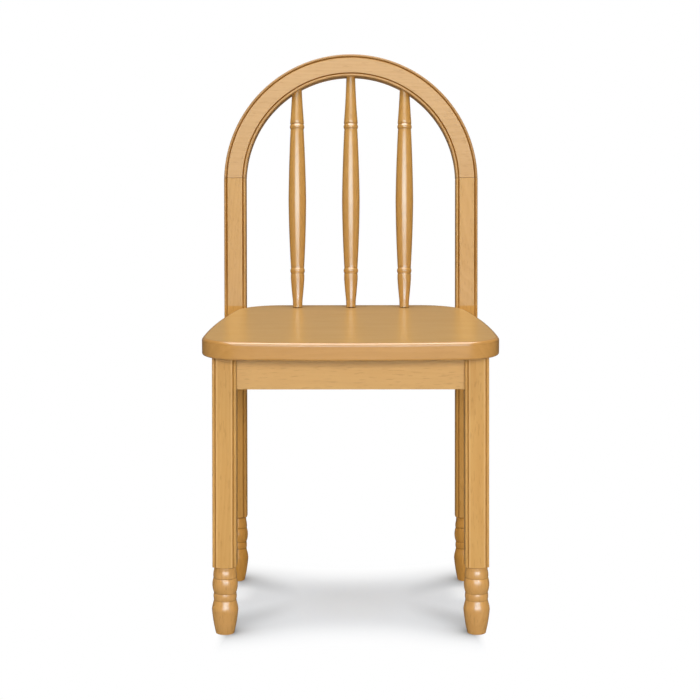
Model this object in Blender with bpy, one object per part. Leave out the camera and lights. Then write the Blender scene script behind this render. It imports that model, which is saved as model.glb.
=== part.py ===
"""Spindle back chair.

A round arched back with three turned spindles stands behind a flat wooden seat.
The frame is doweled: two front legs and two rear posts of beaded square stock with
turned feet, four aprons between them, and a corner block screwed into each corner.
Metres, +Z up. The origin is on the floor under the middle of the overall box, the
chair faces -Y, and left is the -X side.
"""
import bpy
import bmesh
from math import cos, sin, pi, radians, sqrt, asin, atan2
from mathutils import Vector

# Legs and posts: one beaded square stock for legs, posts and arch
stock_width = 0.0360
bead_radius = 0.0021
quirk_width = 0.0014
quirk_depth = 0.0015
side_overhang = 0.0157            # seat's widest line beyond the front legs' outer faces
foot_splay = 0.00495              # each front leg stands this much wider on the floor
post_inset = 0.0094               # posts' outer faces inside the seat's widest line
post_clearance = 0.0013           # seat's rear corners to the posts' front faces
rake = radians(7.5)               # the rear posts and the arch lean back
post_length = 0.6734              # floor to the arch joint, along the post
arch_drop = 0.0064                # the arch's centre lies this far below the joint

# Turned feet
foot_height = 0.1055
foot_radius = 0.0201

# Seat board
seat_height = 0.4570
seat_thickness = 0.0265
seat_depth = 0.4250
seat_overhang = 0.0540            # front edge ahead of the front legs, at the middle
seat_half_width = 0.2206
seat_taper = 0.0286               # each side is this much further in at the back
seat_front_corner = 0.0600
seat_rear_corner = 0.0780
seat_front_arc = 1.4000           # radii of the slightly bowed front and side edges
seat_side_arc = 1.9000
seat_top_round = 0.0050
seat_bottom_round = 0.0030

# Spindles
spindle_seat_spacing = 0.0885     # centre to centre where they enter the seat
spindle_arch_spacing = 0.0900     # and where they meet the arch, so they fan out a little
spindle_inset = 0.0340            # spindle centres ahead of the seat's back edge
spindle_radius = 0.0147           # at the fullest part of the belly
spindle_tenon = 0.0150

# Aprons and corner blocks
apron_height = 0.0519
apron_thickness = 0.0200
apron_setback = 0.0060
block_width = 0.0280
block_height = 0.0300
block_clearance = 0.0030

# Dowels and screws
dowel_radius = 0.0040
dowel_length = 0.0400
dowel_in_leg = 0.0150
dowel_pitch = 0.0260
dowel_chamfer = 0.0008
arch_dowel_pitch = 0.0140
screw_radius = 0.0019
screw_head_radius = 0.0040
screw_head_height = 0.0026
screw_point = 0.0040
block_screw_length = 0.0280
seat_screw_length = 0.0450
counterbore_radius = 0.0047
counterbore_lip = 0.0010          # least depth of the counterbore in the slanting face

# Clearances
seat_gap = 0.0003                 # faces that rest on each other
glue_gap = 0.0003                 # round a dowel, tenon or screw, and at a butt joint
end_gap = 0.0005                  # past the end of a dowel, tenon or screw
cut_overrun = 0.0100              # how far a cutter runs out of the wood

# Facets
round_sides = 16
foot_sides = 16
dowel_sides = 8
screw_sides = 8
arch_steps = 22
bead_angles = (-60, -15, 25, 65, 105, 150)

# Turned patterns. Each row is a height share, a radius share, the swell share of
# the curve that climbs to the next row, and the number of steps in that curve.
foot_shares = (
    (0.000, 0.700, 0.00, 1), (0.028, 0.736, 0.03, 3), (0.345, 0.995, 0.01, 1),
    (0.410, 0.955, 0.00, 1), (0.492, 0.852, 0.00, 1), (0.515, 0.862, 0.02, 2),
    (0.590, 0.862, 0.00, 1), (0.603, 0.848, 0.00, 1), (0.618, 0.868, 0.08, 3),
    (0.815, 0.890, 0.00, 1), (0.828, 0.872, 0.00, 1), (0.840, 0.893, 0.02, 2),
    (0.940, 0.835, 0.00, 1), (1.000, 0.818, 0.00, 1),
)
spindle_shares = (
    (0.000, 0.524, 0.000, 1), (0.032, 0.556, 0.012, 2), (0.118, 0.765, 0.000, 1),
    (0.1355, 0.768, 0.000, 1), (0.1395, 0.740, 0.000, 1), (0.1425, 0.765, 0.050, 3),
    (0.1605, 0.765, 0.000, 1), (0.1640, 0.738, 0.000, 1), (0.1680, 0.752, 0.046, 5),
    (0.444, 1.000, 0.038, 5), (0.7325, 0.752, 0.000, 1), (0.7365, 0.738, 0.000, 1),
    (0.7400, 0.765, 0.050, 3), (0.7555, 0.765, 0.000, 1), (0.7590, 0.742, 0.000, 1),
    (0.7635, 0.785, -0.055, 5), (1.000, 0.480, 0.000, 1),
)

# Places worked out from the sizes above. Y is measured from the front legs' front
# faces until the last step, which moves everything to the middle of the box.
up = Vector((0.0, 0.0, 1.0))
right = Vector((1.0, 0.0, 0.0))
back = Vector((0.0, 1.0, 0.0))
half_stock = stock_width / 2
post_along = Vector((0.0, sin(rake), cos(rake)))
post_front = Vector((0.0, -cos(rake), sin(rake)))
front_top_reach = seat_half_width - side_overhang - half_stock
front_foot_reach = front_top_reach + foot_splay
post_reach = seat_half_width - post_inset - half_stock
seat_rear_half_width = seat_half_width - seat_taper
seat_underside = seat_height - seat_thickness
seat_back = seat_depth - seat_overhang
corner_reach = max(0.0, post_reach - half_stock - seat_rear_half_width + seat_rear_corner)
corner_at_post = seat_back - seat_rear_corner + sqrt(seat_rear_corner ** 2 - corner_reach ** 2)
leg_base_depth = corner_at_post + post_clearance + (half_stock - seat_underside * sin(rake)) / cos(rake)
arch_radius = post_reach
arch_joint = Vector((0.0, leg_base_depth, 0.0)) + post_along * post_length
arch_centre = arch_joint - post_along * arch_drop
spindle_base = Vector((0.0, seat_back - spindle_inset, seat_height))
pattern_length = (arch_centre + post_along * arch_radius - spindle_base).length
apron_top = seat_underside - seat_gap
apron_middle = apron_top - apron_height / 2
block_top = apron_top
arch_rear_reach = (
    leg_base_depth
    + sin(rake) * (post_length - arch_drop + arch_radius + half_stock - bead_radius)
    + cos(rake) * (half_stock - bead_radius)
    + bead_radius
)
box_middle = Vector((0.0, (arch_rear_reach - seat_overhang) / 2, 0.0))

bores = {}
solids = {}


def clear_scene():
    """Remove every object, so that a second run gives the same chair."""
    for old in list(bpy.data.objects):
        bpy.data.objects.remove(old, do_unlink=True)


def wood(name, colour, roughness):
    """A lacquered or bare wood: one colour and one roughness."""
    material = bpy.data.materials.new(name)
    material.use_nodes = True
    shader = material.node_tree.nodes["Principled BSDF"]
    shader.inputs["Base Color"].default_value = (*colour, 1.0)
    shader.inputs["Roughness"].default_value = roughness
    return material


def steel(name, colour, roughness):
    """Plated screw steel."""
    material = wood(name, colour, roughness)
    material.node_tree.nodes["Principled BSDF"].inputs["Metallic"].default_value = 1.0
    return material


def solid(name, rings, material, smooth=True):
    """One closed body through a row of rings with equal point counts, capped at both ends."""
    mesh = bpy.data.meshes.new(name)
    work = bmesh.new()
    add_rings(work, rings)
    bmesh.ops.recalc_face_normals(work, faces=work.faces)
    work.to_mesh(mesh)
    work.free()
    if smooth:
        mesh.shade_smooth()
        mesh.set_sharp_from_angle(angle=radians(35))
    item = bpy.data.objects.new(name, mesh)
    bpy.context.scene.collection.objects.link(item)
    if material:
        mesh.materials.append(material)
        solids[name] = item
    return item


def add_rings(work, rings):
    """Skin the rings with quads and close the two ends."""
    rows = [[work.verts.new(point - box_middle) for point in ring] for ring in rings]
    for low, high in zip(rows, rows[1:]):
        for i in range(len(low)):
            j = (i + 1) % len(low)
            work.faces.new((low[i], low[j], high[j], high[i]))
    work.faces.new(rows[0][::-1])
    work.faces.new(rows[-1])


def hidden(item):
    """Mark an object as a tool for a Boolean, left out of the model."""
    item.hide_render = True
    item.display_type = "WIRE"
    return item


def combine(target, tool, operation):
    """Boolean a tool into a target with the exact solver."""
    step = target.modifiers.new(operation.lower(), "BOOLEAN")
    step.operation = operation
    step.solver = "EXACT"
    step.object = hidden(tool)


def plane_point(start, along, origin, normal):
    """Where the line from start meets the plane through origin."""
    return start + along * ((origin - start).dot(normal) / along.dot(normal))


def side_axes(along):
    """Two directions square to an axis, the first one as near to +X as it can be."""
    guide = right if abs(along.dot(right)) < abs(along.dot(up)) + abs(along.dot(back)) else back
    first = (guide - along * guide.dot(along)).normalized()
    return first, along.cross(first)


def circle(centre, along, radius, sides):
    """A ring of points square to an axis."""
    first, second = side_axes(along)
    turns = [2 * pi * i / sides for i in range(sides)]
    return [centre + (first * cos(a) + second * sin(a)) * radius for a in turns]


def pattern(shares, length, radius):
    """Distances and radii of a turned pattern, each curve swelling as a parabola."""
    places = []
    for row, following in zip(shares, shares[1:]):
        for step in range(row[3]):
            t = step / row[3]
            swell = 4 * t * (1 - t) * row[2]
            distance = row[0] + (following[0] - row[0]) * t
            places.append((distance * length, (row[1] + (following[1] - row[1]) * t + swell) * radius))
    places.append((shares[-1][0] * length, shares[-1][1] * radius))
    return places


def trimmed(places, length):
    """The part of a turned pattern below a length, with a last place exactly there."""
    kept = [place for place in places if place[0] < length - end_gap]
    low = kept[-1]
    high = places[min(len(kept), len(places) - 1)]
    t = (length - low[0]) / (high[0] - low[0])
    return kept + [(length, low[1] + (high[1] - low[1]) * t)]


def turned(name, base, along, places, sides, material):
    """A round solid turned on the axis from base, through (distance, radius) places."""
    rings = [circle(base + along * distance, along, radius, sides) for distance, radius in places]
    return solid(name, rings, material)


def bore(nodes, start, end, radius, sides=dowel_sides):
    """Note a round hole from start to end, to be cut out of each named node."""
    along = (end - start).normalized()
    for node in nodes:
        rings = [circle(start, along, radius, sides), circle(end, along, radius, sides)]
        bores.setdefault(node, []).append(rings)


def cut_bores():
    """Cut all the holes noted for a node with one tool."""
    for node, holes in bores.items():
        mesh = bpy.data.meshes.new(node + "_bores")
        work = bmesh.new()
        for rings in holes:
            add_rings(work, rings)
        bmesh.ops.recalc_face_normals(work, faces=work.faces)
        work.to_mesh(mesh)
        work.free()
        tool = bpy.data.objects.new(node + "_bores", mesh)
        bpy.context.scene.collection.objects.link(tool)
        combine(solids[node], tool, "DIFFERENCE")


def beaded_section():
    """A square outline with a flush bead and its quirks worked on every corner."""
    reach = half_stock - bead_radius
    flat_end = reach - bead_radius - quirk_width
    quirk_floor = (half_stock - quirk_depth, reach - bead_radius - quirk_width / 2)
    corner = [(half_stock, flat_end), quirk_floor]
    corner += [
        (reach + bead_radius * cos(radians(a)), reach + bead_radius * sin(radians(a)))
        for a in bead_angles
    ]
    corner += [quirk_floor[::-1], (flat_end, half_stock)]
    outline = []
    for turn in range(4):
        c, s = cos(turn * pi / 2), sin(turn * pi / 2)
        outline += [(x * c - y * s, x * s + y * c) for x, y in corner]
    return outline


def beaded_leg(name, base, along, end_point, end_normal, material):
    """A square beaded block from the foot's shoulder up to a plane, on a turned foot."""
    first, second = side_axes(along)
    shoulder = base + along * foot_height
    lower = [shoulder + first * u + second * v for u, v in beaded_section()]
    upper = [plane_point(point, along, end_point, end_normal) for point in lower]
    leg = solid(name, [lower, upper], material)

    places = pattern(foot_shares, foot_height, foot_radius)
    places.append((foot_height + half_stock, places[-1][1]))
    rings = [circle(base + along * distance, along, radius, foot_sides) for distance, radius in places]
    rings[0] = [plane_point(point, along, Vector(), up) for point in rings[0]]
    combine(leg, solid(name + "_foot", rings, None), "UNION")
    return leg


def front_leg_axis(side):
    """Floor point and direction of a front leg, which leans in towards the seat."""
    base = Vector((side * front_foot_reach, half_stock, 0.0))
    top = Vector((side * front_top_reach, half_stock, seat_height))
    return base, (top - base).normalized()


def rear_post_base(side):
    """Floor point of a rear post's centre line."""
    return Vector((side * post_reach, leg_base_depth, 0.0))


def arch_place(x):
    """The point on the arch's centre line above a given X."""
    return arch_centre + right * x + post_along * sqrt(arch_radius ** 2 - x ** 2)


def arch(material):
    """The beaded section carried round the posts' leaning plane, from one joint to the other.

    Each point of the section starts and ends its turn in the plane of the joints.
    """
    rings = [[] for step in range(arch_steps + 1)]
    for u, v in beaded_section():
        radius = arch_radius + u
        first = asin(arch_drop / radius)
        for step, ring in enumerate(rings):
            angle = first + (pi - 2 * first) * step / arch_steps
            outward = right * cos(angle) + post_along * sin(angle)
            ring.append(arch_centre + outward * radius + post_front * v)
    return solid("arch", rings, material)


def arc_points(centre, radius, start, end, steps):
    """Points along an arc, without its last one."""
    turns = [start + (end - start) * i / steps for i in range(steps)]
    return [Vector((centre.x + radius * cos(a), centre.y + radius * sin(a), 0.0)) for a in turns]


def joining_centre(first, first_radius, second, second_radius, radius):
    """Centre of a large arc that runs smoothly into two corner arcs, on their left."""
    a, b = radius - first_radius, radius - second_radius
    span = (second - first).length
    along = (second - first) / span
    reach = (a * a - b * b + span * span) / (2 * span)
    return first + along * reach + up.cross(along) * sqrt(a * a - reach * reach)


def seat_outline(inset):
    """Plan outline of the seat, drawn in by an inset: bowed front and sides, round corners."""
    front_corner = Vector((seat_half_width - seat_front_corner, 0.0, 0.0))
    drop = sqrt((seat_front_arc - seat_front_corner) ** 2 - front_corner.x ** 2)
    front_centre = Vector((0.0, seat_front_arc - seat_overhang, 0.0))
    front_corner.y = front_centre.y - drop
    rear_corner = Vector((seat_rear_half_width - seat_rear_corner, seat_back - seat_rear_corner, 0.0))
    side_centre = joining_centre(
        front_corner, seat_front_corner, rear_corner, seat_rear_corner, seat_side_arc
    )
    to_front = front_corner - front_centre
    front_turn = atan2(to_front.y, to_front.x)
    to_side = front_corner - side_centre
    side_start = atan2(to_side.y, to_side.x)
    to_rear = rear_corner - side_centre
    side_end = atan2(to_rear.y, to_rear.x)

    half = arc_points(front_centre, seat_front_arc - inset, -pi / 2, front_turn, 4)
    half += arc_points(front_corner, seat_front_corner - inset, front_turn, side_start, 8)
    half += arc_points(side_centre, seat_side_arc - inset, side_start, side_end, 6)
    half += arc_points(rear_corner, seat_rear_corner - inset, side_end, pi / 2, 8)
    half.append(Vector((rear_corner.x, seat_back - inset, 0.0)))
    mirrored = [Vector((-point.x, point.y, 0.0)) for point in half[:0:-1]]
    return half + mirrored


def seat(material):
    """The seat board, its edge rounded more above than below."""
    edge = []
    for step in range(3):
        turn = pi / 2 * step / 2
        edge.append((seat_bottom_round * (1 - sin(turn)), seat_bottom_round * (1 - cos(turn))))
    for step in range(4):
        turn = pi / 2 * step / 3
        edge.append((seat_top_round * (1 - cos(turn)), seat_thickness - seat_top_round * (1 - sin(turn))))
    rings = [
        [point + up * (seat_underside + height) for point in seat_outline(inset)]
        for inset, height in edge
    ]
    return solid("seat", rings, material)


def spindle(name, place, material):
    """A turned spindle, tenoned into the seat below and into the arch above."""
    base = spindle_base + right * place * spindle_seat_spacing
    top = arch_place(place * spindle_arch_spacing)
    along = (top - base).normalized()
    length = (top - base).length
    places = trimmed(pattern(spindle_shares, pattern_length, spindle_radius), length)
    seat_end_radius = places[0][1]
    places.insert(0, (-spindle_tenon, seat_end_radius))
    turned(name, base, along, places, round_sides, material)

    bore(["seat"], base - along * (spindle_tenon + end_gap), base + along * cut_overrun,
         seat_end_radius + glue_gap, round_sides)
    upper = [(distance, radius + glue_gap) for distance, radius in places if distance > length / 2]
    upper[-1] = (length + end_gap, upper[-1][1])
    rings = [circle(base + along * distance, along, radius, round_sides) for distance, radius in upper]
    bores.setdefault("arch", []).append(rings)


def dowel(name, joint, along, into, nodes, material):
    """A chamfered dowel across a joint; it reaches into metres past the joint along the axis."""
    start = joint - along * (dowel_length - into)
    places = (
        (0.0, dowel_radius - dowel_chamfer), (dowel_chamfer, dowel_radius),
        (dowel_length - dowel_chamfer, dowel_radius), (dowel_length, dowel_radius - dowel_chamfer),
    )
    turned(name, start, along, places, dowel_sides, material)
    bore(nodes, start - along * end_gap, start + along * (dowel_length + end_gap), dowel_radius + glue_gap)


def screw(name, seat_point, along, length, nodes, material):
    """A pan head screw: the head sits at a point, the shank runs along the axis."""
    places = (
        (-screw_head_height, screw_head_radius - screw_head_height / 2),
        (-screw_head_height / 2, screw_head_radius), (0.0, screw_head_radius),
        (0.0, screw_radius), (length - screw_point, screw_radius), (length, screw_radius / 4),
    )
    turned(name, seat_point - along * seat_gap, along, places, screw_sides, material)
    bore(nodes, seat_point - along * seat_gap, seat_point + along * (length + end_gap),
         screw_radius + glue_gap)


def apron(name, start, end, start_face, end_face, start_node, end_node, materials):
    """A rail cut to the faces at its two ends, with two dowels through each of them.

    A face is a point and an outward direction of the leg's side that the rail meets.
    """
    along = (end - start).normalized()
    outward = along.cross(up)
    half_thickness = apron_thickness / 2
    half_height = apron_height / 2
    section = (
        (-half_thickness, -half_height), (half_thickness, -half_height),
        (half_thickness, half_height), (-half_thickness, half_height),
    )
    line = [start + outward * u + up * v for u, v in section]
    faces = [(point + normal * glue_gap, normal) for point, normal in (start_face, end_face)]
    rings = [[plane_point(point, along, *face) for point in line] for face in faces]
    solid(name, rings, materials["frame"], smooth=False)

    ends = (("left", "right") if abs(along.x) > abs(along.y) else ("front", "rear"))
    for label, node, face, inward in (
        (ends[0], start_node, start_face, -along), (ends[1], end_node, end_face, along)
    ):
        for level, height in (("lower", -dowel_pitch / 2), ("upper", dowel_pitch / 2)):
            joint = plane_point(start + up * height, along, *face)
            dowel(f"dowel_{name}_{label}_{level}", joint, inward, dowel_in_leg, [name, node],
                  materials["dowel"])


def plan_cross(point, direction, other, other_direction):
    """Where two level lines cross, seen from above."""
    offset = other - point
    spread = direction.x * other_direction.y - direction.y * other_direction.x
    t = (offset.x * other_direction.y - offset.y * other_direction.x) / spread
    return point + direction * t


def corner_block(corner, side, end, cross_line, side_line, leg_corner, apron_names, materials):
    """A block set across a corner of the frame, with a screw into each apron and one into the seat.

    end is +1 at the front and -1 at the rear; a line is a point and a direction in plan
    of an apron's inner face; leg_corner is the leg's corner that the block passes by.
    """
    inward = Vector((-side, end, 0.0)).normalized()
    diagonal = up.cross(inward)
    outer = leg_corner + inward * block_clearance
    inner = outer + inward * block_width
    plan = [
        plan_cross(outer, diagonal, *cross_line), plan_cross(outer, diagonal, *side_line),
        plan_cross(inner, diagonal, *side_line), plan_cross(inner, diagonal, *cross_line),
    ]
    low, high = up * (block_top - block_height), up * block_top
    name = f"corner_block_{corner}"
    solid(name, [[p + low for p in plan], [p + high for p in plan]], materials["block"], smooth=False)

    level = up * (block_top - block_height / 2)
    for label, apron_name, near, far, line in (
        ("cross", apron_names[0], plan[0], plan[3], cross_line),
        ("side", apron_names[1], plan[1], plan[2], side_line),
    ):
        face = (near + far) / 2
        into = Vector((line[1].y, -line[1].x, 0.0)).normalized()
        into = into if into.dot(inward) < 0 else -into
        slope_exit = plan_cross(face, into, inner, diagonal)
        seat_depth_in_block = (slope_exit - face).length - counterbore_radius - counterbore_lip
        head_seat = face - into * seat_depth_in_block + level
        screw(f"screw_{corner}_{label}", head_seat, into, block_screw_length,
              [name, apron_name], materials["screw"])
        bore([name], head_seat - into * block_width, head_seat, counterbore_radius)

    middle = sum(plan, Vector()) / 4
    screw(f"screw_{corner}_seat", middle + low, up, seat_screw_length, [name, "seat"], materials["screw"])


def build():
    """Make every piece of the chair, then cut the holes of its joints."""
    clear_scene()
    materials = {
        "frame": wood("frame_wood", (0.62, 0.36, 0.13), 0.38),
        "seat": wood("seat_wood", (0.58, 0.34, 0.14), 0.35),
        "spindle": wood("spindle_wood", (0.62, 0.36, 0.13), 0.33),
        "block": wood("block_wood", (0.62, 0.42, 0.22), 0.70),
        "dowel": wood("dowel_wood", (0.66, 0.48, 0.30), 0.75),
        "screw": steel("screw_steel", (0.60, 0.58, 0.52), 0.35),
    }
    sides = (("left", -1), ("right", 1))

    seat(materials["seat"])
    arch(materials["frame"])
    for label, place in (("left", -1), ("centre", 0), ("right", 1)):
        spindle(f"spindle_{label}", place, materials["spindle"])

    level = up * apron_middle
    leg_x = {}
    post_y = leg_base_depth + apron_middle * sin(rake) / cos(rake)
    for label, side in sides:
        base, along = front_leg_axis(side)
        beaded_leg(f"front_leg_{label}", base, along, up * apron_top, up, materials["frame"])
        leg_x[side] = plane_point(base, along, level, up).x
        post_top = arch_joint - post_along * glue_gap
        beaded_leg(f"rear_post_{label}", rear_post_base(side), post_along, post_top, post_along,
                   materials["frame"])
        for place, v in (("front", arch_dowel_pitch / 2), ("rear", -arch_dowel_pitch / 2)):
            joint = arch_joint + right * side * arch_radius + post_front * v
            dowel(f"dowel_arch_{label}_{place}", joint, post_along, dowel_length / 2,
                  ["arch", f"rear_post_{label}"], materials["dowel"])

    apron_line = apron_setback + apron_thickness / 2
    leg_inner, post_inner = {}, {}
    for side in leg_x:
        base, along = front_leg_axis(side)
        inward = side_axes(along)[0] * -side
        leg_inner[side] = (base + inward * half_stock, inward)
        post_inner[side] = (rear_post_base(side) - right * side * half_stock, -right * side)
    front = level + back * apron_line
    apron("front_apron", front + right * leg_x[-1], front + right * leg_x[1],
          leg_inner[-1], leg_inner[1], "front_leg_left", "front_leg_right", materials)
    rear = level + back * post_y
    apron("rear_apron", rear - right * arch_radius, rear + right * arch_radius,
          post_inner[-1], post_inner[1], "rear_post_left", "rear_post_right", materials)

    side_inner = {}
    for label, side in sides:
        start = level + right * (leg_x[side] + side * (half_stock - apron_line)) + back * half_stock
        end = level + right * side * (arch_radius + half_stock - apron_line) + back * post_y
        leg_back = (back * stock_width, back)
        post_face = (rear_post_base(side) + post_front * half_stock, post_front)
        apron(f"side_apron_{label}", start, end, leg_back, post_face,
              f"front_leg_{label}", f"rear_post_{label}", materials)
        run = (end - start).normalized()
        inward = Vector((-run.y * side, run.x * side, 0.0))
        on_face = start + inward * (apron_thickness / 2 + glue_gap)
        side_inner[side] = (Vector((on_face.x, on_face.y, 0.0)), Vector((run.x, run.y, 0.0)))

    front_line = (back * (apron_line + apron_thickness / 2 + glue_gap), right)
    rear_line = (back * (post_y - apron_thickness / 2 - glue_gap), right)
    block_bottom = block_top - block_height
    post_front_y = leg_base_depth + (block_bottom * sin(rake) - half_stock) / cos(rake)
    for label, side in sides:
        leg_corner = Vector((leg_x[side] - side * half_stock, stock_width, 0.0))
        corner_block(f"front_{label}", side, 1, front_line, side_inner[side], leg_corner,
                     ("front_apron", f"side_apron_{label}"), materials)
        post_corner = Vector((side * (arch_radius - half_stock), post_front_y, 0.0))
        corner_block(f"rear_{label}", side, -1, rear_line, side_inner[side], post_corner,
                     ("rear_apron", f"side_apron_{label}"), materials)

    cut_bores()


build()
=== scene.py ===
from math import pi, radians, sin, cos, atan2
import bpy
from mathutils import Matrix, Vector
import numpy as np


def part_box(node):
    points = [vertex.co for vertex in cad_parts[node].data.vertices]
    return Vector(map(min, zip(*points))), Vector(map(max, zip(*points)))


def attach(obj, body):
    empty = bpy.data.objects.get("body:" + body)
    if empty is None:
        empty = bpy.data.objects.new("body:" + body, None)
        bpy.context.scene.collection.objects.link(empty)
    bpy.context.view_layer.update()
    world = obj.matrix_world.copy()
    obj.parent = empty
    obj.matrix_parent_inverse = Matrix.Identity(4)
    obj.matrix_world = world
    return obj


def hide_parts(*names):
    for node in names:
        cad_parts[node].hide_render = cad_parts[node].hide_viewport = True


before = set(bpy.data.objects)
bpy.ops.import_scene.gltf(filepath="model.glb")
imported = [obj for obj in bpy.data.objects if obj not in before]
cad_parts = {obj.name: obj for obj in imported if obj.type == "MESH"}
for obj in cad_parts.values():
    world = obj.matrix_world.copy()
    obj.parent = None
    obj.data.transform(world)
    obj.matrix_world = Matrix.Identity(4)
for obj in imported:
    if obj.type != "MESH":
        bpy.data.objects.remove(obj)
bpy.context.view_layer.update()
scene = bpy.context.scene

# Sizes that several pieces share, in metres. In them depth 0 is the front legs' front face;
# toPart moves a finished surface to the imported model's origin.
chair = {
    "stockWidth": 0.0360, "rake": radians(7.5), "postLength": 0.6734, "archDrop": 0.0064,
    "seatHeight": 0.4570, "seatThickness": 0.0265, "seatDepth": 0.4250, "seatOverhang": 0.0540,
    "seatHalfWidth": 0.2206, "seatRearHalfWidth": 0.1920,
    "legTopReach": 0.1869, "legFootReach": 0.19185, "postReach": 0.1932,
    "postDepth": 0.304138, "jointGap": 0.0003,
}
halfStock = chair["stockWidth"] / 2
right, back, up = np.eye(3)
postAlong = np.array([0, sin(chair["rake"]), cos(chair["rake"])])
postFront = np.array([0, -cos(chair["rake"]), sin(chair["rake"])])
archJoint = back * chair["postDepth"] + postAlong * chair["postLength"]
archCentre = archJoint - postAlong * chair["archDrop"]
seatUnderside = chair["seatHeight"] - chair["seatThickness"]
seatBack = chair["seatDepth"] - chair["seatOverhang"]
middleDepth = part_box("seat")[0].y + chair["seatOverhang"]
toPart = np.array([0, middleDepth, 0])


# A ring surface: points[i, j] is place j of ring i. Neighbouring rings are joined by
# quads, and each end is closed by a fan round its middle point. Each place's stain value,
# 0 to 1, holds real stain and, on the seat's top rounding, painted darkening; below 0 it is a painted
# highlight.
def ringSurface(name, points, stainAndPaintedLight, sharp=32):
    points = np.asarray(points, float) + toPart
    rings, around = points.shape[:2]
    i, j = np.meshgrid(np.arange(rings - 1), np.arange(around), indexing="ij")
    k = (j + 1) % around
    quads = np.stack([i * around + j, i * around + k, (i + 1) * around + k, (i + 1) * around + j], -1)
    quads = quads.reshape(-1, 4)
    last = (rings - 1) * around
    j = np.arange(around)
    k = (j + 1) % around
    low = np.stack([k, j, np.full(around, rings * around)], -1)
    high = np.stack([last + j, last + k, np.full(around, rings * around + 1)], -1)
    places = np.vstack([points.reshape(-1, 3), points[0].mean(0), points[-1].mean(0)])
    mesh = bpy.data.meshes.new(name)
    mesh.from_pydata(places.tolist(), [], quads.tolist() + low.tolist() + high.tolist())
    if outwardVolume(places, quads, low, high) < 0:
        mesh.flip_normals()
    values = np.append(np.broadcast_to(stainAndPaintedLight, (rings, around)).ravel(), [0.0, 0.0])
    attribute = mesh.attributes.new("stainAndPaintedLight", "FLOAT", "POINT")
    attribute.data.foreach_set("value", values.astype(np.float32))
    mesh.shade_smooth()
    mesh.set_sharp_from_angle(angle=radians(sharp))
    piece = bpy.data.objects.new(name, mesh)
    scene.collection.objects.link(piece)
    return piece


# Six times the signed volume: the sum of a . (b x c) over all triangles.
def outwardVolume(places, quads, *triangles):
    faces = np.vstack([quads[:, :3], quads[:, [0, 2, 3]], *triangles])
    a, b, c = (places[faces[:, n]] for n in range(3))
    return np.einsum("ij,ij->", a, np.cross(b, c))


# Says which material, counted from 0, each face of a piece takes.
def finishFaces(piece, finish):
    piece.data.polygons.foreach_set("material_index", finish.astype(np.int32))


# Gives a piece its materials and its body and hides the imported nodes that it stands for; slot is not used.
def dress(piece, materials, slot, *nodes):
    for material in materials:
        piece.data.materials.append(material)
    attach(piece, "root")
    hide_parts(*nodes)


# Two directions square to a line and to each other, the first as near to X as it can be.
def sideAxes(along):
    first = right - along * along.dot(right)
    first /= np.linalg.norm(first)
    return first, np.cross(along, first)


# A turned pattern: rows of height share, radius share, swell share and steps. Between two
# rows the radius runs straight plus a parabola, 4 t (1 - t) times the swell.
def turnedPattern(rows, length, radius, finer=4):
    heights, radii = [], []
    for (h0, r0, swell, steps), (h1, r1, *_) in zip(rows, rows[1:]):
        t = np.arange(steps * finer) / (steps * finer)
        heights.append(h0 + (h1 - h0) * t)
        radii.append(r0 + (r1 - r0) * t + 4 * t * (1 - t) * swell)
    heights.append([rows[-1][0]])
    radii.append([rows[-1][1]])
    return np.concatenate(heights) * length, np.concatenate(radii) * radius


# Stain in turned cuts: a bell curve of the height round each cut, exp(-(distance / spread)^2).
def cutStain(pattern, heights, length):
    away = (heights[:, None] / length - np.array(pattern["cutShares"])) / pattern["spreadShare"]
    return pattern["cutStain"] * np.exp(-away ** 2).sum(1)


def node(tree, kind, inputs=None, **settings):
    made = tree.nodes.new(kind)
    for key, value in settings.items():
        setattr(made, key, value)
    for key, value in (inputs or {}).items():
        socket = made.inputs[key]
        if isinstance(value, bpy.types.NodeSocket):
            tree.links.new(value, socket)
        else:
            socket.default_value = value
    return made


def maths(tree, operation, a, b=0.0, clamp=False):
    return node(tree, "ShaderNodeMath", {0: a, 1: b}, operation=operation, use_clamp=clamp).outputs[0]


def plus(tree, a, b, clamp=False):
    return maths(tree, "ADD", a, b, clamp)


def minus(tree, a, b):
    return maths(tree, "SUBTRACT", a, b)


def times(tree, a, b, clamp=False):
    return maths(tree, "MULTIPLY", a, b, clamp)


# 0 up to the low value and 1 from the high one, with a smooth step between.
def smoothStep(tree, value, low, high):
    return node(tree, "ShaderNodeMapRange", {"Value": value, "From Min": low, "From Max": high},
                interpolation_type="SMOOTHSTEP").outputs[0]


# Mixes two colours, of which the first may also be another node's.
def blend(tree, amount, a, b):
    a = a if isinstance(a, bpy.types.NodeSocket) else (*a, 1)
    return node(tree, "ShaderNodeMix", {0: amount, 6: a, 7: (*b, 1)}, data_type="RGBA").outputs[2]


def ramp(tree, value, *stops):
    made = node(tree, "ShaderNodeValToRGB", {0: value})
    band = made.color_ramp
    for index, (place, level) in enumerate(stops):
        stop = band.elements[index] if index < 2 else band.elements.new(place)
        stop.position = place
        stop.color = (level, level, level, 1)
    return made.outputs[0]


# A noise of so many features to the metre along X, Y and Z.
def noise(tree, coords, scale, detail=2.0):
    scaled = node(tree, "ShaderNodeMapping", {0: coords, "Scale": scale}).outputs[0]
    return node(tree, "ShaderNodeTexNoise", {"Vector": scaled, "Scale": 1.0, "Detail": detail}).outputs[0]


# A material with no nodes yet.
def emptyMaterial(name):
    material = bpy.data.materials.new(name)
    material.use_nodes = True
    material.node_tree.nodes.clear()
    return material
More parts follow.
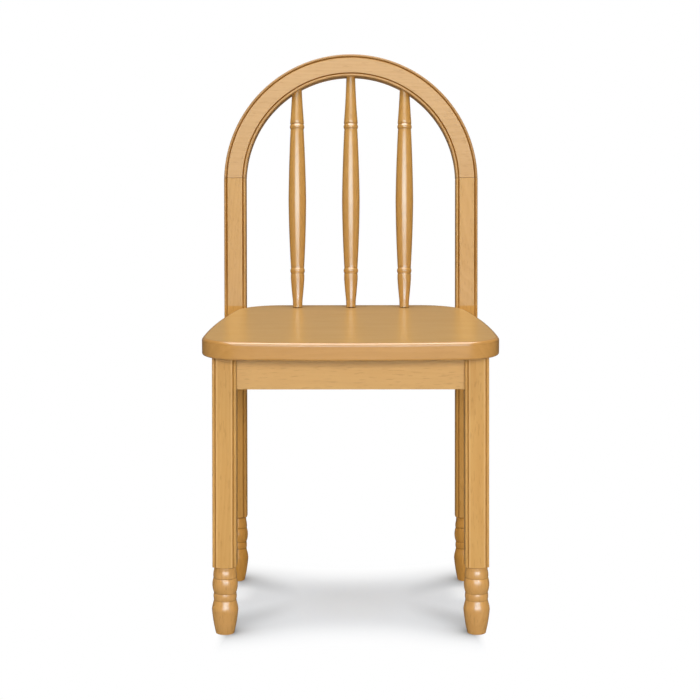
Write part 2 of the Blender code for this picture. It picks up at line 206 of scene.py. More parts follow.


# Lacquered wood. The grain runs along local X after the Mapping node has turned it:
# rings are distances from a line beside the piece, bent a little by a long noise;
# streaks and flecks are noises drawn out along the grain; mottle is a soft cloud.
# The piece's stain attribute darkens it to the line colour, or, below 0, lightens it to the painted
# highlight's colour.
woodLook = {
    "light": (0.662, 0.382, 0.118), "dark": (0.550, 0.284, 0.074),
    "line": (0.200, 0.072, 0.003), "stain": 0.52, "paintedHighlight": (0.820, 0.520, 0.220), "paintedHighlightShare": 0.45,
    "ringPitch": 0.0062, "ringDepth": 0.30, "ringBend": 0.045, "bendScale": (3, 9, 9),
    "ringStops": ((0.0, 0.15), (0.62, 0.75), (0.80, 1.0), (1.0, 0.15)),
    "streakDepth": 0.60, "streakScale": (6, 210, 210),
    "fleckDepth": 0.20, "fleckScale": (65, 520, 520), "fleckStops": ((0.60, 0.0), (0.72, 1.0)),
    "mottleDepth": 0.30, "mottleScale": (14, 40, 40),
    "roughness": 0.50, "roughSpread": 0.10, "bump": 0.10, "bumpHeight": 0.0002, "streakRelief": 0.6,
    "underGloss": 0.2, "lacquer": 0.45, "lacquerRoughness": 0.20, "lacquerIOR": 1.7,
}


def woodMaterial(name, turn=(0, 0, 0), shift=(0, 0, 0), **changes):
    look = {**woodLook, **changes}
    material = bpy.data.materials.new(name)
    material.use_nodes = True
    tree = material.node_tree
    shader = tree.nodes["Principled BSDF"]
    shader.inputs["Specular IOR Level"].default_value = look["underGloss"]
    shader.inputs["Coat Weight"].default_value = look["lacquer"]
    shader.inputs["Coat Roughness"].default_value = look["lacquerRoughness"]
    shader.inputs["Coat IOR"].default_value = look["lacquerIOR"]
    coords = node(tree, "ShaderNodeTexCoord").outputs["Object"]
    grain = node(tree, "ShaderNodeMapping", {0: coords, "Location": shift, "Rotation": turn}).outputs[0]
    bend = times(tree, noise(tree, grain, look["bendScale"]), look["ringBend"])
    parts = node(tree, "ShaderNodeSeparateXYZ", {0: grain}).outputs
    far = maths(tree, "SQRT", plus(tree, times(tree, parts[1], parts[1]), times(tree, parts[2], parts[2])))
    rings = maths(tree, "DIVIDE", plus(tree, far, bend), look["ringPitch"])
    ringTone = ramp(tree, maths(tree, "FRACT", rings), *look["ringStops"])
    streak = noise(tree, grain, look["streakScale"], detail=3.0)
    fleckTone = ramp(tree, noise(tree, grain, look["fleckScale"], detail=1.0), *look["fleckStops"])
    mottle = noise(tree, grain, look["mottleScale"])

    tone = times(tree, ringTone, look["ringDepth"])
    tone = plus(tree, tone, times(tree, streak, look["streakDepth"]))
    tone = plus(tree, tone, times(tree, mottle, look["mottleDepth"]), clamp=True)
    colour = blend(tree, tone, look["light"], look["dark"])
    colour = blend(tree, times(tree, fleckTone, look["fleckDepth"]), colour, look["line"])
    stainAndPaintedLight = node(tree, "ShaderNodeAttribute", attribute_name="stainAndPaintedLight").outputs["Fac"]
    colour = blend(tree, times(tree, stainAndPaintedLight, look["stain"], clamp=True), colour, look["line"])
    # Below 0 the stain value lightens the wood: a painted highlight along the flats' eased edges.
    colour = blend(tree, times(tree, stainAndPaintedLight, -look["paintedHighlightShare"], clamp=True), colour, look["paintedHighlight"])
    tree.links.new(colour, shader.inputs["Base Color"])

    spread = look["roughSpread"]
    rough = plus(tree, times(tree, mottle, spread), look["roughness"] - spread / 2)
    tree.links.new(rough, shader.inputs["Roughness"])
    height = minus(tree, times(tree, streak, look["streakRelief"]), fleckTone)
    bump = node(tree, "ShaderNodeBump", {"Strength": look["bump"], "Distance": look["bumpHeight"],
                                         "Height": height})
    tree.links.new(bump.outputs[0], shader.inputs["Normal"])
    return material


# Beaded stock. Pairs of stains are for the front legs and for the frame of the back, and
# beadTurn is in degrees.
stock = {
    "beadRadius": 0.0021, "quirkWidth": 0.0014, "quirkDepth": 0.0015, "shoulderSlope": 0.17,
    "endEase": 0.0003, "flatSteps": 8, "beadSteps": 15, "beadTurn": (-62, 152), "blockSteps": 8,
    "beadStain": (0.0, 0.40), "beadNearStain": (0.3, 0.6), "beadEndStain": (0.9, 0.9),
    "innerBeadStain": 0.1, "shoulderStain": 0.6, "topStain": 0.9, "quirkFrom": 0.45,
    # Each row has a share of the quirk's depth, a share of its width and the two stains; a stain below 0
    # paints a highlight on the flat's edge.
    "quirkShares": (
        (0.00, -0.28, -1.00, 0.00), (0.05, -0.08, -0.20, 0.50), (0.28, 0.10, 0.80, 1.00),
        (0.85, 0.28, 1.00, 1.00), (1.00, 0.50, 1.00, 1.00), (0.95, 0.75, 1.00, 1.00),
    ),
}


# The outline of the stock: four flats, and on each corner a bead, a circle that touches both
# faces, with a round-bottomed quirk on either side. Returns its places, the turns at which
# the rings of a foot meet them, and its two columns of stain.
def beadedOutline():
    width, depth, radius = stock["quirkWidth"], stock["quirkDepth"], stock["beadRadius"]
    reach = halfStock - radius
    flatEnd = reach - radius - width
    quirk = np.array(stock["quirkShares"]) * (-depth, width, 1, 1) + (halfStock, flatEnd, 0, 0)
    angles = np.radians(np.linspace(*stock["beadTurn"], stock["beadSteps"]))
    bead = np.zeros((len(angles), 4))
    bead[:, 0] = reach + radius * np.cos(angles)
    bead[:, 1] = reach + radius * np.sin(angles)
    bead[:, 2:] = stock["beadStain"]
    bead[[1, -2], 2:] = stock["beadNearStain"]
    bead[[0, -1], 2:] = stock["beadEndStain"]
    flat = np.zeros((stock["flatSteps"], 4))
    flat[:, 0] = halfStock
    flat[:, 1] = np.linspace(-1, 1, stock["flatSteps"] + 2)[1:-1] * (flatEnd - width / 2)
    side = np.vstack([flat, quirk, bead, quirk[::-1][:, [1, 0, 2, 3]]])
    places, stainAndPaintedLight = [], []
    for turn in range(4):
        c, s = cos(turn * pi / 2), sin(turn * pi / 2)
        places.append(np.stack([side[:, 0] * c - side[:, 1] * s, side[:, 0] * s + side[:, 1] * c], 1))
        stainAndPaintedLight.append(side[:, 2:])
    places, stainAndPaintedLight = np.vstack(places), np.vstack(stainAndPaintedLight)
    turns = np.unwrap(np.arctan2(places[:, 1], places[:, 0]))
    corner = len(side)
    for turn in range(4):            # even turns round each corner, where the outline doubles back
        a, b = turn * corner + stock["flatSteps"] - 1, (turn + 1) * corner
        end = turns[b % len(turns)] + (2 * pi if b >= len(turns) else 0)
        turns[a:b] = np.linspace(turns[a], end, b - a + 1)[:-1]
    return places, turns, stainAndPaintedLight


outline, outlineTurns, outlineStainAndHighlight = beadedOutline()
legStainAndHighlight, backWorn = outlineStainAndHighlight.T


# The back's outer beads are darker than its inner ones; side is which way is out.
def backWear(side):
    inner = np.isclose(backWorn, stock["beadStain"][1]) & (outline[:, 0] * side < 0)
    return np.where(inner, stock["innerBeadStain"], backWorn)


# Which faces of the outline lie in a quirk, by the stain of their two ends.
def inQuirk(stainAndPaintedLight):
    return (stainAndPaintedLight + np.roll(stainAndPaintedLight, -1)) / 2 > stock["quirkFrom"]


foot = {
    "height": 0.1055, "radius": 0.0201, "heel": 0.0031,
    "rowShares": (
        (0.000, 0.700, 0.000, 1), (0.028, 0.736, 0.030, 4), (0.345, 0.995, 0.010, 3),
        (0.410, 0.955, 0.000, 2), (0.488, 0.856, 0.000, 1), (0.496, 0.850, 0.000, 1),
        (0.503, 0.850, 0.000, 1), (0.512, 0.860, 0.020, 4), (0.593, 0.860, 0.000, 1),
        (0.600, 0.848, 0.000, 1), (0.608, 0.850, 0.000, 1), (0.618, 0.870, 0.080, 6),
        (0.815, 0.892, 0.000, 1), (0.823, 0.872, 0.000, 1), (0.831, 0.872, 0.000, 1),
        (0.840, 0.893, 0.020, 4), (0.940, 0.835, 0.000, 1), (0.990, 0.818, 0.000, 1),
    ),
    "cutShares": (0.500, 0.604, 0.827), "spreadShare": 0.006, "cutStain": 0.65,
}


# A leg: a turned foot, a cone for the shoulder and the beaded block above it. Rings of the
# foot are circles at the outline's turns; where the cone meets the block, the height is
# slope times the distance from the axis, so the beads end a little above the flats.
# Its materials are the block's, the foot's and the matt one of the quirks and the shoulder's
# edge. The lowest mattSteps of the block are all matt and hold mattStain times the stain.
def beadedLeg(name, base, along, topPoint, topNormal, blockStainAndHighlight, mattSteps=0, mattStain=1.0):
    first, second = sideAxes(along)

    def ring(u, v, distance):
        return base + np.multiply.outer(u, first) + np.multiply.outer(v, second) \
            + np.multiply.outer(distance + 0 * u, along)

    heights, radii = turnedPattern(foot["rowShares"], foot["height"], foot["radius"])
    rings = [ring(r * np.cos(outlineTurns), r * np.sin(outlineTurns), h) for h, r in zip(heights, radii)]
    lift = np.multiply.outer(-rings[0][:, 2] / along[2], along)  # cut level with the floor at the heel
    rings = [r + lift * max(0.0, 1 - h / foot["heel"]) for r, h in zip(rings, heights)]
    u, v = outline.T
    edge = foot["height"] + (np.hypot(u, v) - halfStock) * stock["shoulderSlope"]
    ease = 1 - stock["endEase"] / np.hypot(u, v)
    rings.append(ring(u * ease, v * ease, edge))
    rings.append(ring(u, v, edge + stock["endEase"]))
    lower = rings[-1]
    travel = (topPoint - ring(u, v, 0.0)) @ topNormal / along.dot(topNormal)
    upper = ring(u, v, travel - stock["endEase"])
    for t in np.linspace(0, 1, stock["blockSteps"] + 1)[1:]:
        rings.append(lower + (upper - lower) * t)
    rings.append(ring(u * ease, v * ease, travel))

    blockStart = len(heights)
    stainAndPaintedLight = np.zeros((len(rings), len(u)))
    stainAndPaintedLight[blockStart:] = blockStainAndHighlight
    stainAndPaintedLight[blockStart:blockStart + 2 + mattSteps] *= mattStain
    stainAndPaintedLight[blockStart - 1] = stock["shoulderStain"]
    stainAndPaintedLight[-1] = stock["topStain"]
    stainAndPaintedLight[:blockStart] += cutStain(foot, heights, foot["height"])[:, None]
    piece = ringSurface(name, np.array(rings), stainAndPaintedLight)
    ringOfFace = np.arange(len(piece.data.polygons)) // len(u)  # the low and the high fan come last
    lowFan, highFan = len(rings) - 1, len(rings)
    finish = np.where(np.resize(inQuirk(blockStainAndHighlight), len(ringOfFace)), 2, 0)
    finish[ringOfFace < blockStart + 1 + mattSteps] = 2
    finish[(ringOfFace < blockStart) | (ringOfFace == lowFan)] = 1
    finish[ringOfFace == highFan] = 0
    finishFaces(piece, finish)
    return piece


uprightGrain = (0, radians(90), 0)  # turns the grain from X to Z
turnedGloss = {"lacquer": 1.0, "lacquerIOR": 2.45, "lacquerRoughness": 0.23}  # polished on the lathe
footWood = {**turnedGloss, "lacquerRoughness": 0.26, "light": (0.790, 0.430, 0.124),
            "dark": (0.665, 0.325, 0.074)}
quirkWood = {"lacquer": 0.0, "roughness": 0.65, "underGloss": 0.1}
# The posts' wood is less orange than the legs', partly a painted sheen.
postWoodAndSheen = {"light": (0.548, 0.318, 0.109), "dark": (0.453, 0.245, 0.070), "stain": 1.05, "lacquer": 0.3}
# The rear feet take a lighter, redder copy of the post's wood: painted light in the shade under the seat.
postFootLitWood = {**postWoodAndSheen, "lacquer": 0.5, "light": (0.670, 0.330, 0.067), "dark": (0.557, 0.255, 0.041)}
postQuirkWood = {**postWoodAndSheen, **quirkWood, "light": (0.565, 0.302, 0.082), "dark": (0.467, 0.229, 0.052)}
postMatt = {"mattSteps": 5, "mattStain": 0.45}  # up to the seat the posts are dull and less stained
for label, side in (("left", -1), ("right", 1)):
    base = np.array([side * chair["legFootReach"], halfStock, 0])
    top = np.array([side * chair["legTopReach"], halfStock, chair["seatHeight"]])
    along = (top - base) / np.linalg.norm(top - base)
    leg = beadedLeg(f"leg_front_{label}", base, along, up * (seatUnderside - chair["jointGap"]), up, legStainAndHighlight)
    shift = (0.31 * side, 0.052, 0.155 + 0.01 * side)
    woods = [woodMaterial(f"{name}_{label}", uprightGrain, shift, **look)
             for name, look in (("legWood", {}), ("footWood", footWood), ("legQuirk", quirkWood))]
    dress(leg, woods, "frame_wood", f"front_leg_{label}")

    base = np.array([side * chair["postReach"], chair["postDepth"], 0])
    postTop = archJoint - postAlong * chair["jointGap"]
    post = beadedLeg(f"post_rear_{label}", base, postAlong, postTop, postAlong, backWear(side), **postMatt)
    shift = (0.57 * side, 0.033, 0.12 + 0.02 * side)
    woods = [woodMaterial(f"{name}_{label}", uprightGrain, shift, **look)
             for name, look in (("postWoodAndSheen", postWoodAndSheen), ("postFootLitWood", postFootLitWood),
                                ("postQuirk", postQuirkWood))]
    dress(post, woods, "frame_wood", f"rear_post_{label}")
print("legs and posts made")

# The arch. The outline is carried round in the posts' leaning plane: out(a) = X cos a + along
# sin a. Each of its points turns from a = asin(drop / radius) to pi - a, so both ends are flat.
arch = {"steps": 160, "endEase": 0.0002, "endShare": 0.0004, "endStain": 0.9}
# The arch's wood is less orange than the legs', partly a painted sheen.
archWoodAndSheen = {"light": (0.540, 0.322, 0.129), "dark": (0.453, 0.253, 0.086), "stain": 0.95,
            "mottleDepth": 0.42, "bump": 0.0}
t = np.concatenate([[0], np.linspace(arch["endShare"], 1 - arch["endShare"], arch["steps"]), [1]])
shrink = np.ones(len(t))
shrink[[0, -1]] = 1 - arch["endEase"] / halfStock
u, v = (np.multiply.outer(shrink, place) for place in outline.T)
radial = chair["postReach"] + u
first = np.arcsin(chair["archDrop"] / radial)
angles = first + (pi - 2 * first) * t[:, None]
rings = archCentre + (radial * np.cos(angles))[:, :, None] * right \
    + (radial * np.sin(angles))[:, :, None] * postAlong + v[:, :, None] * postFront
stainAndPaintedLight = np.tile(backWear(1), (len(t), 1))
stainAndPaintedLight[[0, -1]] = arch["endStain"]     # in the joint lines
hoop = ringSurface("arch_hoop", rings, stainAndPaintedLight)
shift = (0.2, -0.13, -0.69)
woods = [woodMaterial("archWoodAndSheen", (0, 0, 0), shift, **archWoodAndSheen),
         woodMaterial("archQuirk", (0, 0, 0), shift, **archWoodAndSheen, **quirkWood)]
dress(hoop, woods, "frame_wood", "arch")
stained = np.resize(inQuirk(backWorn), len(hoop.data.polygons))
stained[(len(t) - 1) * len(outline):] = False  # the fans at the two ends
finishFaces(hoop, stained)
print("arch made")

spindle = {
    "seatSpacing": 0.0885, "archSpacing": 0.0900, "inset": 0.0340, "radius": 0.0147, "sides": 48,
    "endRoom": 0.002,
    "rowShares": (
        (0.000, 0.524, 0.000, 1), (0.032, 0.556, 0.012, 3), (0.118, 0.765, 0.000, 1),
        (0.135, 0.768, 0.000, 1), (0.1382, 0.742, 0.000, 1), (0.1402, 0.742, 0.000, 1),
        (0.1435, 0.767, 0.052, 4), (0.1600, 0.767, 0.000, 1), (0.1630, 0.740, 0.000, 1),
        (0.1650, 0.740, 0.000, 1), (0.1685, 0.752, 0.046, 8), (0.444, 1.000, 0.038, 8),
        (0.732, 0.752, 0.000, 1), (0.7355, 0.740, 0.000, 1), (0.7375, 0.740, 0.000, 1),
        (0.7405, 0.767, 0.052, 4), (0.7555, 0.767, 0.000, 1), (0.7580, 0.745, 0.000, 1),
        (0.7600, 0.745, 0.000, 1), (0.7635, 0.785, -0.055, 6), (1.000, 0.480, 0.000, 1),
    ),
    "cutShares": (0.1392, 0.1640, 0.7365, 0.7590), "spreadShare": 0.0016, "cutStain": 0.75,
}
spindleWood = {**turnedGloss, "light": (0.570, 0.305, 0.069), "dark": (0.476, 0.232, 0.043),
               "mottleDepth": 0.2}
# Circles square to the line from the seat to the arch's centre line, at the pattern's radii.
# All three follow the centre one's pattern, and the shorter outer ones stop before its end.
seatPoint = np.array([0, seatBack - spindle["inset"], chair["seatHeight"]])
patternLength = np.linalg.norm(archCentre + postAlong * chair["postReach"] - seatPoint)
turns = np.linspace(0, 2 * pi, spindle["sides"], endpoint=False)
for label, step in (("left", -1), ("centre", 0), ("right", 1)):
    start = seatPoint + right * step * spindle["seatSpacing"]
    x = step * spindle["archSpacing"]
    end = archCentre + right * x + postAlong * np.sqrt(chair["postReach"] ** 2 - x ** 2)
    length = np.linalg.norm(end - start)
    along = (end - start) / length
    heights, radii = turnedPattern(spindle["rowShares"], patternLength, spindle["radius"])
    kept = heights < length - spindle["endRoom"]
    heights, radii = heights[kept], radii[kept]
    first, second = sideAxes(along)
    circle = np.multiply.outer(np.cos(turns), first) + np.multiply.outer(np.sin(turns), second)
    rings = start + heights[:, None, None] * along + radii[:, None, None] * circle
    stainAndPaintedLight = cutStain(spindle, heights, patternLength)[:, None]
    shift = (0.4 * step + 0.1, 0.02, 0.055 + 0.1 * step)
    wood = woodMaterial(f"spindleWood_{label}", uprightGrain, shift, **spindleWood)
    piece = ringSurface(f"spindle_turned_{label}", rings, stainAndPaintedLight)
    dress(piece, [wood], "spindle_wood", f"spindle_{label}")
print("spindles made")

seat = {
    "frontCorner": 0.0600, "rearCorner": 0.0780, "frontArc": 1.4000, "sideArc": 1.9000,
    "topRound": 0.0050, "bottomRound": 0.0030, "topSteps": 10, "bottomSteps": 6, "beside": 0.0003,
    "frontSteps": 16, "cornerSteps": 26, "sideSteps": 16, "rearSteps": 28, "roundingDarkening": 0.30,
}
seatLay = ((0, 0, 0), (0.0, 0.9, 0.06))
seatWood = {"light": (0.560, 0.330, 0.104), "dark": (0.470, 0.258, 0.070), "ringPitch": 0.009,
            "fleckDepth": 0.08, "lacquer": 0.6, "lacquerRoughness": 0.24, "lacquerIOR": 2.0}
# The edge and its rounding take a darker, redder copy of the seat's wood: painted shade.
seatEdgeShadedWood = {**seatWood, "light": (0.600, 0.312, 0.084), "dark": (0.505, 0.247, 0.056),
                "lacquer": 1.0, "lacquerRoughness": 0.20}


# The plan is four kinds of arc, each drawn in by the inset: a wide one across the front,
# a corner, a nearly straight one along the side and a rear corner, then mirrored.
def seatPlan(inset):
    frontX = chair["seatHalfWidth"] - seat["frontCorner"]
    frontMid = np.array([0, seat["frontArc"] - chair["seatOverhang"]])
    drop = np.sqrt((seat["frontArc"] - seat["frontCorner"]) ** 2 - frontX ** 2)
    front = np.array([frontX, frontMid[1] - drop])
    rear = np.array([chair["seatRearHalfWidth"] - seat["rearCorner"], seatBack - seat["rearCorner"]])
    a, b = seat["sideArc"] - seat["frontCorner"], seat["sideArc"] - seat["rearCorner"]
    span = np.linalg.norm(rear - front)
    run = (rear - front) / span
    reach = (a * a - b * b + span * span) / (2 * span)
    sideMid = front + run * reach + np.array([-run[1], run[0]]) * np.sqrt(a * a - reach * reach)

    def arc(middle, radius, start, stop, steps):
        t = np.linspace(start, stop, steps, endpoint=False)
        return np.stack([middle[0] + radius * np.cos(t), middle[1] + radius * np.sin(t)], 1)

    frontTurn = atan2(*(front - frontMid)[::-1])
    sideStart = atan2(*(front - sideMid)[::-1])
    sideEnd = atan2(*(rear - sideMid)[::-1])
    half = np.vstack([
        arc(frontMid, seat["frontArc"] - inset, -pi / 2, frontTurn, seat["frontSteps"]),
        arc(front, seat["frontCorner"] - inset, frontTurn, sideStart, seat["cornerSteps"]),
        arc(sideMid, seat["sideArc"] - inset, sideStart, sideEnd, seat["sideSteps"]),
        arc(rear, seat["rearCorner"] - inset, sideEnd, pi / 2, seat["rearSteps"]),
        [[rear[0], seatBack - inset]], [[rear[0] / 2, seatBack - inset]],
    ])
    return np.vstack([half, [[0, seatBack - inset]], half[:0:-1] * [-1, 1]])


# The board: rings of the plan up a quarter round, the side and a larger quarter round. A ring
# beside each rounded edge keeps the flats flat in smooth shading.
low = np.linspace(0, pi / 2, seat["bottomSteps"])
high = np.linspace(0, pi / 2, seat["topSteps"])
insets = np.concatenate([
    [seat["bottomRound"] + seat["beside"]], seat["bottomRound"] * (1 - np.sin(low)), [0, 0],
    seat["topRound"] * (1 - np.cos(high)), [seat["topRound"] + seat["beside"]],
])
levels = np.concatenate([
    [0], seat["bottomRound"] * (1 - np.cos(low)), [seat["bottomRound"] + seat["beside"]],
    [chair["seatThickness"] - seat["topRound"] - seat["beside"]],
    chair["seatThickness"] - seat["topRound"] * (1 - np.sin(high)), [chair["seatThickness"]],
])
rings = [np.column_stack([seatPlan(i), np.full(len(seatPlan(i)), seatUnderside + z)])
         for i, z in zip(insets, levels)]
woods = [woodMaterial("seatWood", *seatLay, **seatWood),
         woodMaterial("seatEdgeShadedWood", *seatLay, **seatEdgeShadedWood)]
stainAndPaintedLight = np.zeros((len(rings), 1))
# The top rounding is painted darker so that the highlight along the front edge reads whiter.
stainAndPaintedLight[-1 - seat["topSteps"]:-1] = seat["roundingDarkening"]
board = ringSurface("seat_board", rings, stainAndPaintedLight, sharp=40)
dress(board, woods, "seat_wood", "seat")
ringOfFace = np.arange(len(board.data.polygons)) // len(rings[0])
finishFaces(board, ringOfFace < len(rings) - 2)  # all but the top and the fans take the edge's wood
print("seat made")

apron = {
    "height": 0.0519, "thickness": 0.0200, "setback": 0.0060, "edge": 0.0012, "edgeSteps": 5,
    "beside": 0.0003, "lengthSteps": 6,
}
# The front and rear aprons take a lighter copy of the wood: painted light in the seat's shade, with grain of
# their own.
crossWoodPaintedLight = {"light": (0.706, 0.426, 0.157), "dark": (0.590, 0.327, 0.105), "fleckDepth": 0.18,
             "ringDepth": 0.15, "streakDepth": 0.5}


# A rail: a rectangle with quarter-round edges, drawn from one leg's side to the other's. A row
# beside each edge keeps the flats flat in smooth shading.
def rail(name, start, end, startFace, endFace):
    along = (end - start) / np.linalg.norm(end - start)
    out = np.cross(along, up)
    u0, v0 = apron["thickness"] / 2 - apron["edge"], apron["height"] / 2 - apron["edge"]
    t = np.linspace(0, pi / 2, apron["edgeSteps"])
    section = []
    for cu, cv, a in ((1, 1, 0), (-1, 1, pi / 2), (-1, -1, pi), (1, -1, 3 * pi / 2)):
        bend = np.stack([cu * u0 + apron["edge"] * np.cos(t + a), cv * v0 + apron["edge"] * np.sin(t + a)], 1)
        before, after = np.array([sin(a), -cos(a)]), np.array([-cos(a), -sin(a)])
        section += [bend[0] + before * apron["beside"], *bend, bend[-1] + after * apron["beside"]]
    section = np.array(section)
    line = start + np.multiply.outer(section[:, 0], out) + np.multiply.outer(section[:, 1], up)

    def cut(point, normal):
        travel = (point + normal * chair["jointGap"] - line) @ normal / along.dot(normal)
        return line + np.multiply.outer(travel, along)

    a, b = cut(*startFace), cut(*endFace)
    rings = np.array([a + (b - a) * t for t in np.linspace(0, 1, apron["lengthSteps"] + 1)])
    return ringSurface(name, rings, 0.0)


railLevel = seatUnderside - chair["jointGap"] - apron["height"] / 2
railInset = apron["setback"] + apron["thickness"] / 2
lean = (chair["legFootReach"] - chair["legTopReach"]) / chair["seatHeight"]
legX = chair["legFootReach"] - lean * railLevel
postX = chair["postReach"]
postY = chair["postDepth"] + railLevel * np.tan(chair["rake"])
frontWood = woodMaterial("apronWood_front", (0, 0, 0), (0.35, 0.23, -0.352), **crossWoodPaintedLight)
rearWood = woodMaterial("apronWood_rear", (0, 0, 0), (0.8, -0.08, -0.352), **crossWoodPaintedLight)
faces = []
for side in (-1, 1):
    legAlong = np.array([-side * lean, 0, 1]) / np.hypot(1, lean)
    inward = sideAxes(legAlong)[0] * -side
    faces.append((np.array([side * chair["legFootReach"], halfStock, 0]) + inward * halfStock, inward))
start, end = (np.array([side * legX, railInset, railLevel]) for side in (-1, 1))
piece = rail("rail_front", start, end, *faces)
dress(piece, [frontWood], "frame_wood", "front_apron")
faces = [(np.array([side * (postX - halfStock), postY, 0]), -right * side) for side in (-1, 1)]
start, end = (np.array([side * postX, postY, railLevel]) for side in (-1, 1))
piece = rail("rail_rear", start, end, *faces)
dress(piece, [rearWood], "frame_wood", "rear_apron")
for label, side in (("left", -1), ("right", 1)):
    start = np.array([side * (legX + halfStock - railInset), halfStock, railLevel])
    end = np.array([side * (postX + halfStock - railInset), postY, railLevel])
    postFace = np.array([side * postX, chair["postDepth"], 0]) + postFront * halfStock
    shift = (0.25 * side, 0.2 * side, -0.352)
    wood = woodMaterial(f"sideApronWood_{label}", (0, 0, radians(90)), shift)
    piece = rail(f"rail_{label}", start, end, (back * chair["stockWidth"], back), (postFace, postFront))
    dress(piece, [wood], "frame_wood", f"side_apron_{label}")
print("aprons made")

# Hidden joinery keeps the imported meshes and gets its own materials.
block = {"light": (0.66, 0.42, 0.20), "dark": (0.50, 0.28, 0.11), "roughness": 0.60, "lacquer": 0.0}
dowel = {"light": (0.70, 0.50, 0.30), "dark": (0.55, 0.36, 0.18), "roughness": 0.65, "lacquer": 0.0}
screw = {"bright": (0.62, 0.60, 0.54), "dull": (0.46, 0.45, 0.42), "cloudScale": (900, 900, 900),
         "roughness": 0.22, "roughSpread": 0.2}
blockWood = woodMaterial("blockWood", (0, 0, radians(45)), (0.1, 0.3, -0.35), **block)
dowelWood = woodMaterial("dowelWood", (0, 0, 0), (0.4, 0.1, 0.0), **dowel)
screwSteel = bpy.data.materials.new("screwSteel")
screwSteel.use_nodes = True
tree = screwSteel.node_tree
shader = tree.nodes["Principled BSDF"]
shader.inputs["Metallic"].default_value = 1.0
cloud = noise(tree, node(tree, "ShaderNodeTexCoord").outputs["Object"], screw["cloudScale"])
tree.links.new(blend(tree, cloud, screw["bright"], screw["dull"]), shader.inputs["Base Color"])
rough = plus(tree, times(tree, cloud, screw["roughSpread"]), screw["roughness"])
tree.links.new(rough, shader.inputs["Roughness"])
for name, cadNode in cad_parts.items():
    for start, material in (("corner_block", blockWood), ("dowel", dowelWood), ("screw", screwSteel)):
        if name.startswith(start):
            cadNode.data.materials.clear()
            cadNode.data.materials.append(material)
print("joinery coloured")

# The studio: a white floor that keeps the shadow between the feet, a white background, and a
# grey dome that only gloss sees, because the lacquer mirrors a dim room.
room = {
    "floorSize": 60.0, "floorPaint": (0.680, 0.716, 0.754), "floorGlow": 0.295, "bouncePaint": 0.56,
    "shadowWidth": (0.180, 0.205), "shadowDepth": (0.055, 0.220), "shadowMiddle": -0.036, "shadowSpread": 1.4,
    # The patch values set painted light on the floor between the feet.
    "paintedLightWidth": (0.148, 0.185), "paintedLightDepth": (0.015, 0.055), "paintedLightMiddle": 0.032, "paintedLightShare": 0.50,
    "contactReach": 0.22, "contactPower": 2.0,
    # The streak values set a painted shadow on the floor, running in from each foot.
    "paintedShadowSlope": 0.8, "paintedShadowStart": 0.026, "paintedShadowReach": (0.0, 0.062), "paintedShadowWidth": (0.07, 0.16),
    "paintedShadowShare": 0.20,
    "domeRadius": 9.0, "domeLow": 0.03, "domeHigh": 0.15, "domeRise": (-0.6, 0.6), "domeBack": (5.0, 8.0),
    "ambient": 0.15,
}


# 1 for what the camera sees, directly or in gloss or glass; 0 for the light between things.
def seenRay(tree):
    path = node(tree, "ShaderNodeLightPath").outputs
    seen = maths(tree, "MAXIMUM", path["Is Camera Ray"], path["Is Glossy Ray"])
    return maths(tree, "MAXIMUM", seen, path["Is Transmission Ray"])


# Plain white light, of strength 1 for the background's white.
def glowing(tree, strength):
    return node(tree, "ShaderNodeEmission", {"Color": (1, 1, 1, 1), "Strength": strength}).outputs[0]


